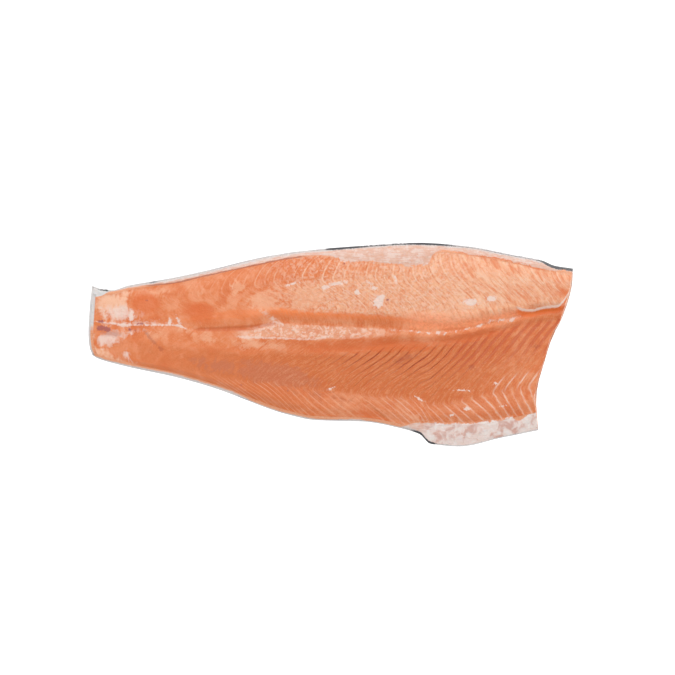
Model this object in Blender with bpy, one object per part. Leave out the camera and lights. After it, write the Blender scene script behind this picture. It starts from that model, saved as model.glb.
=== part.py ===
"""A side of raw salmon, skin on, lying on its skin with the cut face up.

Three layers lie in each other like trays: the silver skin, the pale fat under the skin, and the flesh.
+X runs from the tail to the shoulder cut, +Y from the belly to the back, and the skin rests on Z = 0.
Lengths in this file are millimetres, and MM turns them into metres as a mesh is made.
"""

from collections import namedtuple

import bmesh
import bpy
import numpy as np
from mathutils import Matrix

MM = 0.001

# The outline of the skin, seen from above. The long edges are (x, y) and the two cut ends are (y, x).
BACK_EDGE = (
    (-221.5, 55), (-212, 52), (-202, 51), (-188, 55), (-150, 61.5), (-108, 70.5), (-63.5, 81), (-28.5, 86.5),
    (17.5, 90.5), (80, 94), (124.5, 91), (165, 83.5), (193.5, 78), (207, 73), (225, 70.5),
)
BELLY_EDGE = (
    (-221, -9.5), (-216, -12.5), (-193.5, -19), (-141, -30.5), (-108, -40), (-41.5, -64), (-15, -69.5),
    (30.5, -71), (70, -78.5), (82, -82.5), (92, -91.5), (119, -94), (157.5, -86), (192.5, -79),
)
TAIL_CUT = ((-9.5, -221), (-2, -224), (10, -225), (37, -223.5), (55, -221.5))
SHOULDER_CUT = ((-79, 192.5), (-50, 189.8), (-12, 199), (10, 206), (22, 213), (56, 223.5), (70.5, 225))

# The groove that the backbone left, and the narrow ridge on its belly side: (x, y) and (x, width).
GROOVE = (
    (-221.5, 18.5), (-167, 18.5), (-116, 14), (-79.5, 14.5), (-54.5, 20.5), (-28.5, 18.5),
    (63.5, 14.5), (91.5, 12.5), (119, 14.5), (156, 22.5), (183.5, 28.5), (225, 33),
)
RIDGE_WIDTH = ((-222, 3), (-116, 4), (-50, 11), (0, 10), (90, 3), (225, 2.5))
RIDGE_FOOT_WIDTH = ((-222, 5), (-84, 12), (0, 13), (90, 8), (225, 7))

# How high the cut face stands over the table: (x, height), or (x, share of the loin's height).
LOIN_HEIGHT = ((-222, 3.4), (-214, 5.6), (-200, 8), (-121, 15.5), (-28, 26), (63, 32), (130, 33), (225, 29.5))
GROOVE_SHARE = ((-222, 0.92), (-121, 0.78), (-28, 0.70), (150, 0.66), (225, 0.60))
BELLY_SHARE = ((-222, 0.90), (-121, 0.70), (-28, 0.51), (63, 0.43), (225, 0.45))
BACK_EDGE_SHARE = 0.60
BACK_SHOULDER_SHARE = 0.86
LOIN_SHOULDER_SHARE = 0.94
RIDGE_FOOT_RISE = 0.38
BELLY_RIM_SHARE = 0.93
BELLY_EDGE_HEIGHT = ((-222, 2.6), (-190, 4.4), (-75, 5.5), (60, 6.5), (80, 6), (96, 4.2), (192, 4.5))
FLESH_EDGE_HEIGHT = ((-222, 3.8), (-190, 5.2), (-75, 6.8), (60, 8.5), (115, 8), (192, 8.5))

# Where the long guide lines lie, from the groove (0) to the back (1) and from the belly (0) to the ridge (1).
LOIN_SHOULDER_PLACE = 0.20
LOIN_CREST_PLACE = 0.62
BACK_SHOULDER_PLACE = 0.87
BELLY_RIM_PLACE = 0.15
BELLY_TROUGH_PLACE = 0.52

# The layers. Each keeps GAP clear of the next, and a layer's upright rim is RIM high and slants by RIM_SLANT.
SKIN_THICKNESS = 1.0
FAT_THICKNESS = 1.0
GAP = 0.3
RIM = 1.0
RIM_SLANT = 0.02
THINNEST = 0.8
BACK_FAT_WIDTH = (
    (-221, 6.5), (-195, 3), (-90, 4.5), (-10, 4.5), (45, 16), (75, 17), (102, 7), (185, 7), (225, 2.5),
)
BELLY_FAT_WIDTH = ((-221, 2.4), (60, 2.6), (76, 3), (93, 15), (115, 19), (150, 15), (192, 16))
FAT_TAIL_INSET = 2.2
FLESH_TAIL_INSET = 5.0

# Each layer rises to its edges in a round, whose width changes with the layer's inset from the skin's edge.
BACK_ROUND_SHARE = 0.72
BACK_ROUND_MORE = 2.0
BACK_ROUND_LOSS = 0.65
BELLY_ROUND = ((-222, 3.5), (-150, 7), (225, 9))
BELLY_ROUND_GAIN = 0.35
NARROWEST_ROUND = 2.5

# The muscle segments: their seams zigzag across the fillet, (across, shift along x), and sink a little.
SEGMENTS = 47
SEAM_SHIFT = ((-1, 0), (-0.62, -34), (0, 22), (0.70, -10), (1, 0))
SEAM_FADE = 0.26
SEAM_DEPTH = 0.55
COLUMNS_PER_SEGMENT = 3

# The knife leaned a little as it cut the shoulder end, so the top stands back from the bottom.
CUT_LEAN = 0.14
CUT_LEAN_REACH = 0.08

# A round is a quarter of an ellipse in this many facets. The steps run from its upright end to its level end.
ROUND_FACETS = 4
ROUND_STEPS = np.cos(np.linspace(0, np.pi / 2, ROUND_FACETS + 1))
ROUND_RISE = 1 - np.sqrt(1 - ROUND_STEPS**2)

# The flesh's rows keep at least this far apart.
NARROWEST_ROW = 0.5

# The skin and the fat have this many level rows between their rounds, so their cut ends follow the curves.
LEVEL_ROWS = 8

# A layer's outside: its height over the table, and its inset from the back, belly and tail edges.
Layer = namedtuple("Layer", "under back belly tail")


def smooth(line, at):
    """Reads a smooth curve through the line's (place, value) points, with no overshoot between them."""
    places, values = np.array(line, float).T
    return smooth_across(places[:, None], values[:, None], np.ravel(at)).reshape(np.shape(at))


def smooth_across(places, values, at):
    """The same for many curves: places and values are (points, curves), and at is one place on each."""
    places, values = (np.broadcast_to(a, (len(a), len(at))) for a in (places, values))
    step = np.diff(places, axis=0)
    slope = np.diff(values, axis=0) / step
    total = slope[:-1] + slope[1:]
    level = slope[:-1] * slope[1:] <= 0
    inner = np.where(level, 0, 2 * slope[:-1] * slope[1:] / np.where(level, 1, total))
    tangent = np.concatenate([slope[:1], inner, slope[-1:]])
    span = (at >= places[1:-1]).sum(axis=0)[None]
    start, length, low, high, tangent_low, tangent_high = (
        np.take_along_axis(a, span + shift, 0)[0]
        for a, shift in ((places, 0), (step, 0), (values, 0), (values, 1), (tangent, 0), (tangent, 1))
    )
    t = np.clip((at - start) / length, 0, 1)
    return (
        low * (1 + 2 * t) * (1 - t) ** 2
        + high * t * t * (3 - 2 * t)
        + length * (tangent_low * t * (1 - t) ** 2 - tangent_high * t * t * (1 - t))
    )


def ease(t):
    """0 at t = 0, 1 at t = 1, and level at both."""
    t = np.clip(t, 0, 1)
    return t * t * (3 - 2 * t)


def between(low, high, share):
    return low + (high - low) * share


def flesh_outside(gap=0.0):
    """The flesh, or with a gap the pocket in the fat that holds it."""
    inset = SKIN_THICKNESS + GAP
    return Layer(
        under=SKIN_THICKNESS + FAT_THICKNESS + 2 * GAP - gap,
        back=tuple((x, inset + width - gap) for x, width in BACK_FAT_WIDTH),
        belly=tuple((x, inset + width - gap) for x, width in BELLY_FAT_WIDTH),
        tail=FLESH_TAIL_INSET,
    )


def even_layer(depth, tail):
    """A layer whose outside lies at the same depth under the skin's all round."""
    level = ((-1, depth), (1, depth))
    return Layer(under=depth, back=level, belly=level, tail=tail)


def edges(layer, x):
    """The y of the layer's belly edge and back edge at x."""
    belly = smooth(BELLY_EDGE, x) + smooth(layer.belly, x)
    back = smooth(BACK_EDGE, x) - smooth(layer.back, x)
    return belly, back


def guide_lines(x):
    """The y and the height of the lines that shape the cut face at x, from the belly to the back."""
    belly, back = smooth(BELLY_EDGE, x), smooth(BACK_EDGE, x)
    flesh_belly = edges(flesh_outside(), x)[0]
    groove = smooth(GROOVE, x)
    ridge = groove - smooth(RIDGE_WIDTH, x)
    foot = ridge - smooth(RIDGE_FOOT_WIDTH, x)
    loin = smooth(LOIN_HEIGHT, x)
    groove_share, belly_share = smooth(GROOVE_SHARE, x), smooth(BELLY_SHARE, x)
    lines = (
        (belly, smooth(BELLY_EDGE_HEIGHT, x)),
        (flesh_belly, smooth(FLESH_EDGE_HEIGHT, x)),
        (between(flesh_belly, foot, BELLY_RIM_PLACE), loin * belly_share * BELLY_RIM_SHARE),
        (between(flesh_belly, foot, BELLY_TROUGH_PLACE), loin * belly_share),
        (foot, loin * between(belly_share, groove_share, RIDGE_FOOT_RISE)),
        (ridge, loin * groove_share),
        (groove, loin * groove_share),
        (between(groove, back, LOIN_SHOULDER_PLACE), loin * LOIN_SHOULDER_SHARE),
        (between(groove, back, LOIN_CREST_PLACE), loin),
        (between(groove, back, BACK_SHOULDER_PLACE), loin * BACK_SHOULDER_SHARE),
        (back, loin * BACK_EDGE_SHARE),
    )
    return np.array([y for y, _ in lines]), np.array([height for _, height in lines])


def cut_face(x, y):
    """How high the cut face stands at (x, y)."""
    places, heights = guide_lines(x)
    return smooth_across(places, heights, np.clip(y, places[0], places[-1]))


def rounds(layer, x):
    """How wide the layer's round is at the belly and at the back."""
    belly = smooth(BELLY_ROUND, x) + BELLY_ROUND_GAIN * smooth(layer.belly, x)
    back = BACK_ROUND_SHARE * smooth(LOIN_HEIGHT, x) + BACK_ROUND_MORE
    back -= BACK_ROUND_LOSS * smooth(layer.back, x)
    return belly, np.maximum(back, NARROWEST_ROUND)


def underside(layer, x, y):
    """How high the layer's underside stands: level in the middle, and rising in a round to each long edge."""
    belly_edge, back_edge = edges(layer, x)
    belly_round, back_round = rounds(layer, x)
    height = np.full(np.shape(x), float(layer.under))
    for edge, width, inward in ((belly_edge, belly_round, 1), (back_edge, back_round, -1)):
        share = np.clip(1 - (y - edge) * inward / width, 0, 1)
        rise = np.maximum(cut_face(x, edge) - RIM - layer.under, 0)
        height += rise * np.interp(share, ROUND_STEPS[::-1], ROUND_RISE[::-1])
    return height


def along(column, layer, y):
    """The x of a column: -1 at the layer's own tail end, 0 at the flesh's, and 1 at the shoulder cut."""
    tail, shoulder = smooth(TAIL_CUT, y), smooth(SHOULDER_CUT, y)
    inside = between(tail + FLESH_TAIL_INSET, shoulder, np.maximum(column, 0))
    return np.where(column < 0, tail + between(FLESH_TAIL_INSET, layer.tail, -column), inside)


def settle(column, layer, row_place):
    """The (x, y) where a column crosses a row. row_place gives y at x, so a few turns settle the two."""
    x = between(BACK_EDGE[0][0], BACK_EDGE[-1][0], np.clip(column, 0, 1))
    for _ in range(6):
        y = row_place(x)
        x = along(column, layer, y)
    return x, row_place(x)


def flesh_rows(x):
    """The y of every row of the flesh at x: both rounds, and the guide lines and marks between them."""
    layer = flesh_outside()
    belly_edge, back_edge = edges(layer, x)
    belly_round, back_round = rounds(layer, x)
    places, _ = guide_lines(x)
    _, _, rim, trough, foot, ridge, groove, shoulder, crest, _, _ = places
    belly_end, back_end = belly_edge + belly_round, back_edge - back_round
    rim = np.maximum(rim, belly_end + NARROWEST_ROW)
    crest = np.minimum(crest, back_end - NARROWEST_ROW)
    return np.array(
        [belly_edge + belly_round * (1 - s) for s in ROUND_STEPS]
        + [rim, between(rim, trough, 0.5), trough]
        + [between(trough, foot, 0.4), between(trough, foot, 0.75), foot, between(foot, ridge, 0.5)]
        + [ridge, groove, between(groove, shoulder, 0.45), shoulder]
        + [between(shoulder, crest, 0.5), crest]
        + [back_edge - back_round * (1 - s) for s in ROUND_STEPS[::-1]]
    )


FLESH_ROWS = len(flesh_rows(np.zeros(1))) - 1


def slab(columns, rows, spare_columns=(), spare_rows=()):
    """A closed slab of columns x rows faces, in index units, with its underside at 0 and its top at 1."""
    bm = bmesh.new()
    to_index = Matrix.Diagonal((columns, rows, 1, 1)) @ Matrix.Translation((0.5, 0.5, 0))
    bmesh.ops.create_grid(bm, x_segments=columns, y_segments=rows, size=0.5, matrix=to_index)
    lifted = bmesh.ops.extrude_face_region(bm, geom=bm.faces[:])["geom"]
    top = [v for v in lifted if isinstance(v, bmesh.types.BMVert)]
    bmesh.ops.translate(bm, verts=top, vec=(0, 0, 1))
    bmesh.ops.recalc_face_normals(bm, faces=bm.faces)
    thin_out_underside(bm, 0, spare_columns)
    thin_out_underside(bm, 1, spare_rows)
    return bm


def thin_out_underside(bm, axis, spare):
    """Joins the underside's faces across columns (axis 0) or rows (axis 1) that only the top needs."""
    joined = []
    for edge in bm.edges:
        start, end = (v.co for v in edge.verts)
        below = all(face.normal.z < -0.5 for face in edge.link_faces)
        if below and round(start[axis]) == round(end[axis]) and round(start[axis]) in spare:
            joined.append(edge)
    bmesh.ops.dissolve_edges(bm, edges=joined, use_verts=True)


def index_arrays(bm):
    """Column, row and whether it lies on top, for every vertex of a slab."""
    co = np.array([v.co for v in bm.verts])
    return np.round(co[:, 0]).astype(int), np.round(co[:, 1]).astype(int), co[:, 2] > 0.5


def finish(bm, name, points, material):
    """Moves the slab's vertices to their places and makes it an object."""
    for vertex, point in zip(bm.verts, points * MM):
        vertex.co = point
    level = [face for face in bm.faces if len({v.co.z for v in face.verts}) == 1]
    bmesh.ops.dissolve_faces(bm, faces=level)
    bmesh.ops.recalc_face_normals(bm, faces=bm.faces)
    mesh = bpy.data.meshes.new(name)
    bm.to_mesh(mesh)
    bm.free()
    mesh.shade_smooth()
    mesh.set_sharp_from_angle(angle=np.radians(40))
    mesh.materials.append(material)
    made = bpy.data.objects.new(name, mesh)
    bpy.context.scene.collection.objects.link(made)
    return made


def lean_back(share, x, z):
    """The x of a point, drawn back by its height near the shoulder cut, because the knife leaned."""
    return x - CUT_LEAN * z * ease((share - 1 + CUT_LEAN_REACH) / CUT_LEAN_REACH)


def seam_shift(x, y):
    """How far along x the zigzag of the seams carries a point that lies at (x, y)."""
    places, _ = guide_lines(x)
    belly, groove, back = places[0], places[6], places[-1]
    across = np.where(y > groove, (y - groove) / (back - groove), (y - groove) / (groove - belly))
    return smooth(SEAM_SHIFT, across)


def make_flesh(material):
    """The muscle: one slab whose upper columns follow the zigzag seams, every third one sunk into a seam."""
    columns = SEGMENTS * COLUMNS_PER_SEGMENT
    spare = [column for column in range(columns) if column % COLUMNS_PER_SEGMENT]
    bm = slab(columns, FLESH_ROWS, spare_columns=spare)
    column, row, top = index_arrays(bm)
    layer = flesh_outside()

    def row_place(x):
        return np.take_along_axis(flesh_rows(x), row[None], 0)[0]

    in_rim = (row == 0) | (row == FLESH_ROWS)
    in_seam = top & ~in_rim & (column % COLUMNS_PER_SEGMENT == 0) & (column > 0) & (column < columns)

    def points_at(share):
        x, y = settle(share, layer, row_place)
        floor = underside(layer, x, y)
        surface = np.maximum(cut_face(x, y) - SEAM_DEPTH * in_seam, floor + THINNEST)
        z = np.where(top, surface, floor)
        return np.stack([lean_back(share, x, z), y, z], axis=1)

    share = column / columns
    x, y = settle(share, layer, row_place)
    length = SHOULDER_CUT[-1][1] - TAIL_CUT[-1][1]
    fade = ease(share / SEAM_FADE) * ease((1 - share) / SEAM_FADE)
    zigzag = np.where(top, seam_shift(x, y) * fade / length, 0)
    past = column % COLUMNS_PER_SEGMENT
    before = points_at((column - past) / columns)
    after = points_at((column - past + COLUMNS_PER_SEGMENT) / columns)
    straight = between(before, after, past[:, None] / COLUMNS_PER_SEGMENT)
    points = np.where(in_rim[:, None] | ~top[:, None], straight, points_at(share + zigzag))
    return finish(bm, "flesh", points, material)


def level_rows(belly_end, back_end):
    """The y of the lines between a tray's level rows, from the end of the belly round to the back round's."""
    return [between(belly_end, back_end, row / LEVEL_ROWS) for row in range(1, LEVEL_ROWS)]


def make_tray(name, outside, pocket, tail_columns, material):
    """A layer with a rim along the back and the belly, and a pocket for the layer that lies in it."""
    spare_steps = np.linspace(ROUND_STEPS[0], ROUND_STEPS[1], 4)[1:3]
    round_below = np.insert(ROUND_STEPS, 1, spare_steps)
    rows = 2 * (len(round_below) - 1) + LEVEL_ROWS
    bm = slab(SEGMENTS + tail_columns, rows, spare_rows=(1, 2, rows - 2, rows - 1))
    index, row, top = index_arrays(bm)
    past_tail = index - tail_columns
    column = np.where(past_tail < 0, past_tail / tail_columns, past_tail / SEGMENTS)

    def rows_below(x):
        belly_edge, back_edge = edges(outside, x)
        belly_round, back_round = rounds(outside, x)
        belly_end, back_end = belly_edge + belly_round, back_edge - back_round
        return np.array(
            [belly_edge + belly_round * (1 - s) for s in round_below]
            + level_rows(belly_end, back_end)
            + [back_edge - back_round * (1 - s) for s in round_below[::-1]]
        )

    def rows_above(x):
        outer_belly, outer_back = edges(outside, x)
        belly_edge, back_edge = edges(pocket, x)
        belly_round, back_round = rounds(pocket, x)
        belly_end, back_end = belly_edge + belly_round, back_edge - back_round
        return np.array(
            [outer_belly, belly_edge - RIM_SLANT]
            + [belly_edge + belly_round * (1 - s) for s in ROUND_STEPS]
            + level_rows(belly_end, back_end)
            + [back_edge - back_round * (1 - s) for s in ROUND_STEPS[::-1]]
            + [back_edge + RIM_SLANT, outer_back]
        )

    def row_place(x):
        below = np.take_along_axis(rows_below(x), row[None], 0)[0]
        above = np.take_along_axis(rows_above(x), row[None], 0)[0]
        return np.where(top, above, below)

    x, y = settle(column, outside, row_place)
    on_rim = (row < 2) | (row > rows - 2)
    upper = np.where(on_rim, cut_face(x, y), underside(pocket, x, y))
    lower = underside(outside, x, y)
    z = np.where(top, upper, lower)
    return finish(bm, name, np.stack([lean_back(column, x, z), y, z], axis=1), material)


def finish_of(name, colour, roughness):
    """A plain material in the layer's own colour."""
    material = bpy.data.materials.new(name)
    material.use_nodes = True
    shader = material.node_tree.nodes["Principled BSDF"]
    shader.inputs["Base Color"].default_value = (*colour, 1)
    shader.inputs["Roughness"].default_value = roughness
    shader.inputs["Metallic"].default_value = 0
    return material


def main():
    for obj in list(bpy.data.objects):
        bpy.data.objects.remove(obj)
    skin = even_layer(0, 0)
    fat = even_layer(SKIN_THICKNESS + GAP, FAT_TAIL_INSET)
    fat_pocket = even_layer(SKIN_THICKNESS, 0)
    make_flesh(finish_of("salmon_flesh", (0.78, 0.28, 0.12), 0.4))
    make_tray("fat_layer", fat, flesh_outside(GAP), 1, finish_of("pale_fat", (0.80, 0.60, 0.52), 0.45))
    make_tray("skin", skin, fat_pocket, 2, finish_of("silver_skin", (0.20, 0.22, 0.24), 0.35))


main()
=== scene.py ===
"""A raw side of salmon, skin on, on a white table, seen from straight above.

The camera, lamps and table are in metres. The layers are in millimetres, until place scales them by MM.
"""

from collections import namedtuple

import bmesh
import bpy
import numpy as np
from mathutils import Matrix, noise


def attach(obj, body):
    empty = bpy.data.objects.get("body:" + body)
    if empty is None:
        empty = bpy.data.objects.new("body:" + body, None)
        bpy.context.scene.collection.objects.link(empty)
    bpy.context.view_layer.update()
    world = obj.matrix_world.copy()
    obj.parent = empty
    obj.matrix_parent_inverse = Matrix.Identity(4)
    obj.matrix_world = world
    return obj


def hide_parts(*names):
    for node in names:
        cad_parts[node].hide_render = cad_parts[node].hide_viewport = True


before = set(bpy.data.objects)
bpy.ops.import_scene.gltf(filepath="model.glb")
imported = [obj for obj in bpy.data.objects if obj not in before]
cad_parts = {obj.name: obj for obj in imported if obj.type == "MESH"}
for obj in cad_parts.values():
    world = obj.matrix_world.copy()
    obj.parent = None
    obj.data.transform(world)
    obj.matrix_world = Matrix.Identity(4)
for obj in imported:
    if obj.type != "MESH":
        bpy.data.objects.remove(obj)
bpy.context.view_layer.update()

# Camera.
# The photograph was taken from straight above, from so far off that it shows no sides.
VIEW_CENTRE = (0.006, 0.0069)
VIEW_WIDTH = 0.6224
CAMERA_HEIGHT = 2.2
FACE_HEIGHT = 0.012
SENSOR_WIDTH = 36

camera = bpy.data.objects.new("camera", bpy.data.cameras.new("camera"))
camera.location = (*VIEW_CENTRE, CAMERA_HEIGHT)
camera.data.sensor_width = SENSOR_WIDTH
camera.data.lens = SENSOR_WIDTH * (CAMERA_HEIGHT - FACE_HEIGHT) / VIEW_WIDTH
bpy.context.scene.collection.objects.link(camera)
bpy.context.scene.camera = camera

# Light.
# A studio: a large soft lamp over the back edge, a weaker one over the belly, and white walls all round.
LAMPS = (("lamp_back", (0.05, 1.0, 1.35), 1.7, 21), ("lamp_belly", (-0.3, -0.9, 1.5), 1.7, 6))
WALL_LIGHT = 0.66

for name, place, size, power in LAMPS:
    lamp = bpy.data.objects.new(name, bpy.data.lights.new(name, "AREA"))
    lamp.data.size = size
    lamp.data.energy = power
    lamp.location = place
    lamp.rotation_euler = lamp.location.to_track_quat("Z", "Y").to_euler()
    bpy.context.scene.collection.objects.link(lamp)
world = bpy.data.worlds.new("studio")
world.use_nodes = True
walls = world.node_tree.nodes["Background"].inputs
walls["Color"].default_value = (1, 1, 1, 1)
walls["Strength"].default_value = WALL_LIGHT
bpy.context.scene.world = world
bpy.context.scene.view_settings.view_transform = "Standard"

# Table.
# A plain white light table, wider than any view, just under the skin. It glows, so that the fillet throws
# no shadow.
TABLE_SIZE = 3.0
TABLE_DROP = 0.0003
TABLE_GLOW = 0.45

bm = bmesh.new()
bmesh.ops.create_grid(bm, x_segments=1, y_segments=1, size=TABLE_SIZE)
bmesh.ops.translate(bm, verts=bm.verts, vec=(0, 0, -TABLE_DROP))
table = bpy.data.objects.new("table", bpy.data.meshes.new("table"))
bm.to_mesh(table.data)
bm.free()
white = bpy.data.materials.new("white_board")
white.use_nodes = True
board = white.node_tree.nodes["Principled BSDF"].inputs
board["Base Color"].default_value = (0.97, 0.97, 0.97, 1)
board["Roughness"].default_value = 0.7
board["Emission Color"].default_value = (1, 1, 1, 1)
board["Emission Strength"].default_value = TABLE_GLOW
table.data.materials.append(white)
bpy.context.scene.collection.objects.link(table)

# Skin.
# The outer sheet of the fish, a millimetre thick, with scales in overlapping rows: blue-black and spotted on
# the back, silver on the flank and white on the belly. It grows on the fat, and it sticks out past the meat
# at the tail.
MM = 0.001
BACK_EDGE = (
    (-221.5, 55), (-212, 52), (-202, 51), (-188, 55), (-150, 61.5), (-108, 70.5), (-63.5, 81), (-28.5, 86.5),
    (17.5, 90.5), (80, 94), (124.5, 91), (165, 83.5), (193.5, 78), (207, 73), (225, 70.5),
)
BELLY_EDGE = (
    (-221, -9.5), (-216, -12.5), (-193.5, -19), (-141, -30.5), (-108, -40), (-41.5, -64), (-15, -69.5),
    (30.5, -71), (70, -78.5), (82, -82.5), (92, -91.5), (119, -94), (157.5, -86), (192.5, -79),
)
TAIL_CUT = ((-9.5, -221), (-2, -224), (10, -225), (37, -223.5), (55, -221.5))
SHOULDER_CUT = ((-79, 192.5), (-50, 189.8), (-12, 199), (10, 206), (22, 213), (56, 223.5), (70.5, 225))
GROOVE = (
    (-221.5, 18.5), (-167, 18.5), (-116, 14), (-79.5, 14.5), (-54.5, 20.5), (-28.5, 18.5),
    (63.5, 14.5), (91.5, 12.5), (119, 14.5), (156, 22.5), (183.5, 28.5), (225, 33),
)
RIDGE_WIDTH = ((-222, 3), (-116, 4), (-50, 11), (0, 10), (90, 3), (225, 2.5))
RIDGE_FOOT_WIDTH = ((-222, 5), (-84, 12), (0, 13), (90, 8), (225, 7))
LOIN_HEIGHT = ((-222, 3.4), (-214, 5.6), (-200, 8), (-121, 15.5), (-28, 26), (63, 32), (130, 33), (225, 29.5))
GROOVE_SHARE = ((-222, 0.92), (-121, 0.78), (-28, 0.7), (150, 0.66), (225, 0.6))
BELLY_SHARE = ((-222, 0.9), (-121, 0.7), (-28, 0.51), (63, 0.43), (225, 0.45))
BACK_EDGE_SHARE, BACK_SHOULDER_SHARE, LOIN_SHOULDER_SHARE = 0.6, 0.86, 0.94
RIDGE_FOOT_RISE, BELLY_RIM_SHARE = 0.38, 0.93
BELLY_EDGE_HEIGHT = ((-222, 2.6), (-190, 4.4), (-75, 5.5), (60, 6.5), (80, 6), (96, 4.2), (192, 4.5))
FLESH_EDGE_HEIGHT = ((-222, 3.8), (-190, 5.2), (-75, 6.8), (60, 8.5), (115, 8), (192, 8.5))
LOIN_SHOULDER_PLACE, LOIN_CREST_PLACE, BACK_SHOULDER_PLACE = 0.2, 0.62, 0.87
BELLY_RIM_PLACE, BELLY_TROUGH_PLACE = 0.15, 0.52
BACK_FAT_WIDTH = (
    (-221, 6.5), (-195, 3), (-90, 4.5), (-10, 4.5), (45, 16), (75, 17), (102, 7), (185, 7), (225, 2.5),
)
BELLY_FAT_WIDTH = ((-221, 2.4), (60, 2.6), (76, 3), (93, 15), (115, 19), (150, 15), (192, 16))
FAT_TAIL_INSET, FLESH_TAIL_INSET = 2.2, 5.0
SKIN_THICKNESS, FAT_THICKNESS, GAP, CLOSE, RIM, RIM_SLANT, THINNEST = 1.0, 1.0, 0.3, 0.05, 1.0, 0.02, 0.8
BACK_ROUND_SHARE, BACK_ROUND_MORE, BACK_ROUND_LOSS = 0.72, 2.0, 0.65
BELLY_ROUND, BELLY_ROUND_GAIN, NARROWEST_ROUND = ((-222, 3.5), (-150, 7), (225, 9)), 0.35, 2.5
CUT_LEAN, CUT_LEAN_REACH = 0.14, 0.08
SEGMENTS, MIDDLE_ROWS = 47, 12
ROUND_STEPS = np.cos(np.linspace(0, np.pi / 2, 7))

# How near two places in a slab count as one, and how often places that hang on one another are worked out.
NEAR, PASSES = 0.01, 6

# A layer's outside: its height over the table, and its inset from the back, belly and tail edges.
Layer = namedtuple("Layer", "under back belly tail")


def smooth(line, at):
    """Reads a smooth curve through the line's (place, value) points, with no overshoot between them."""
    places, values = np.array(line, float).T
    return smooth_across(places[:, None], values[:, None], np.ravel(at)).reshape(np.shape(at))


def smooth_across(places, values, at):
    """The same for many curves: places and values are (points, curves), and at is one place on each."""
    places, values = (np.broadcast_to(a, (len(a), len(at))) for a in (places, values))
    step = np.diff(places, axis=0)
    slope = np.diff(values, axis=0) / step
    level = slope[:-1] * slope[1:] <= 0
    inner = np.where(level, 0, 2 * slope[:-1] * slope[1:] / np.where(level, 1, slope[:-1] + slope[1:]))
    tangent = np.concatenate([slope[:1], inner, slope[-1:]])
    span = (at >= places[1:-1]).sum(axis=0)[None]
    start, length, low, high, tangent_low, tangent_high = (
        np.take_along_axis(a, span + shift, 0)[0]
        for a, shift in ((places, 0), (step, 0), (values, 0), (values, 1), (tangent, 0), (tangent, 1))
    )
    t = np.clip((at - start) / length, 0, 1)
    rise = length * (tangent_low * t * (1 - t) ** 2 - tangent_high * t * t * (1 - t))
    return low * (1 + 2 * t) * (1 - t) ** 2 + high * t * t * (3 - 2 * t) + rise


def ease(t):
    """0 at t = 0, 1 at t = 1, and level at both."""
    t = np.clip(t, 0, 1)
    return t * t * (3 - 2 * t)


def between(low, high, share):
    return low + (high - low) * share


def even_layer(depth, tail):
    """A layer whose outside lies at the same depth under the skin's all round."""
    level = ((-1, depth), (1, depth))
    return Layer(under=depth, back=level, belly=level, tail=tail)


def flesh_outside(gap=0.0):
    """The flesh, or with a gap the pocket in the fat that holds it."""
    inset = SKIN_THICKNESS + GAP - gap
    return Layer(
        under=SKIN_THICKNESS + FAT_THICKNESS + 2 * GAP - gap,
        back=tuple((x, inset + width) for x, width in BACK_FAT_WIDTH),
        belly=tuple((x, inset + width) for x, width in BELLY_FAT_WIDTH),
        tail=FLESH_TAIL_INSET,
    )


def edges(layer, x):
    """The y of the layer's belly edge and back edge at x."""
    return smooth(BELLY_EDGE, x) + smooth(layer.belly, x), smooth(BACK_EDGE, x) - smooth(layer.back, x)


def guide_lines(x):
    """The y and the height of the lines that shape the cut face at x, from the belly to the back."""
    belly, back = smooth(BELLY_EDGE, x), smooth(BACK_EDGE, x)
    flesh_belly = edges(flesh_outside(), x)[0]
    groove = smooth(GROOVE, x)
    ridge = groove - smooth(RIDGE_WIDTH, x)
    foot = ridge - smooth(RIDGE_FOOT_WIDTH, x)
    loin = smooth(LOIN_HEIGHT, x)
    groove_share, belly_share = smooth(GROOVE_SHARE, x), smooth(BELLY_SHARE, x)
    lines = (
        (belly, smooth(BELLY_EDGE_HEIGHT, x)),
        (flesh_belly, smooth(FLESH_EDGE_HEIGHT, x)),
        (between(flesh_belly, foot, BELLY_RIM_PLACE), loin * belly_share * BELLY_RIM_SHARE),
        (between(flesh_belly, foot, BELLY_TROUGH_PLACE), loin * belly_share),
        (foot, loin * between(belly_share, groove_share, RIDGE_FOOT_RISE)),
        (ridge, loin * groove_share),
        (groove, loin * groove_share),
        (between(groove, back, LOIN_SHOULDER_PLACE), loin * LOIN_SHOULDER_SHARE),
        (between(groove, back, LOIN_CREST_PLACE), loin),
        (between(groove, back, BACK_SHOULDER_PLACE), loin * BACK_SHOULDER_SHARE),
        (back, loin * BACK_EDGE_SHARE),
    )
    return np.array([y for y, _ in lines]), np.array([height for _, height in lines])


def cut_face(x, y):
    """How high the cut face stands at (x, y)."""
    places, heights = guide_lines(x)
    return smooth_across(places, heights, np.clip(y, places[0], places[-1]))


def rounds(layer, x):
    """How wide the layer's round is at the belly and at the back."""
    belly = smooth(BELLY_ROUND, x) + BELLY_ROUND_GAIN * smooth(layer.belly, x)
    back = BACK_ROUND_SHARE * smooth(LOIN_HEIGHT, x) + BACK_ROUND_MORE
    return belly, np.maximum(back - BACK_ROUND_LOSS * smooth(layer.back, x), NARROWEST_ROUND)


def underside(layer, x, y):
    """How high the layer's underside stands: level in the middle, and rising in a round to each long edge."""
    height = np.full(np.shape(x), float(layer.under))
    for edge, width, inward in zip(edges(layer, x), rounds(layer, x), (1, -1)):
        share = np.clip(1 - (y - edge) * inward / width, 0, 1)
        rise = np.maximum(cut_face(x, edge) - RIM - layer.under, 0)
        height += rise * (1 - np.sqrt(1 - share**2))
    return height


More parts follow.
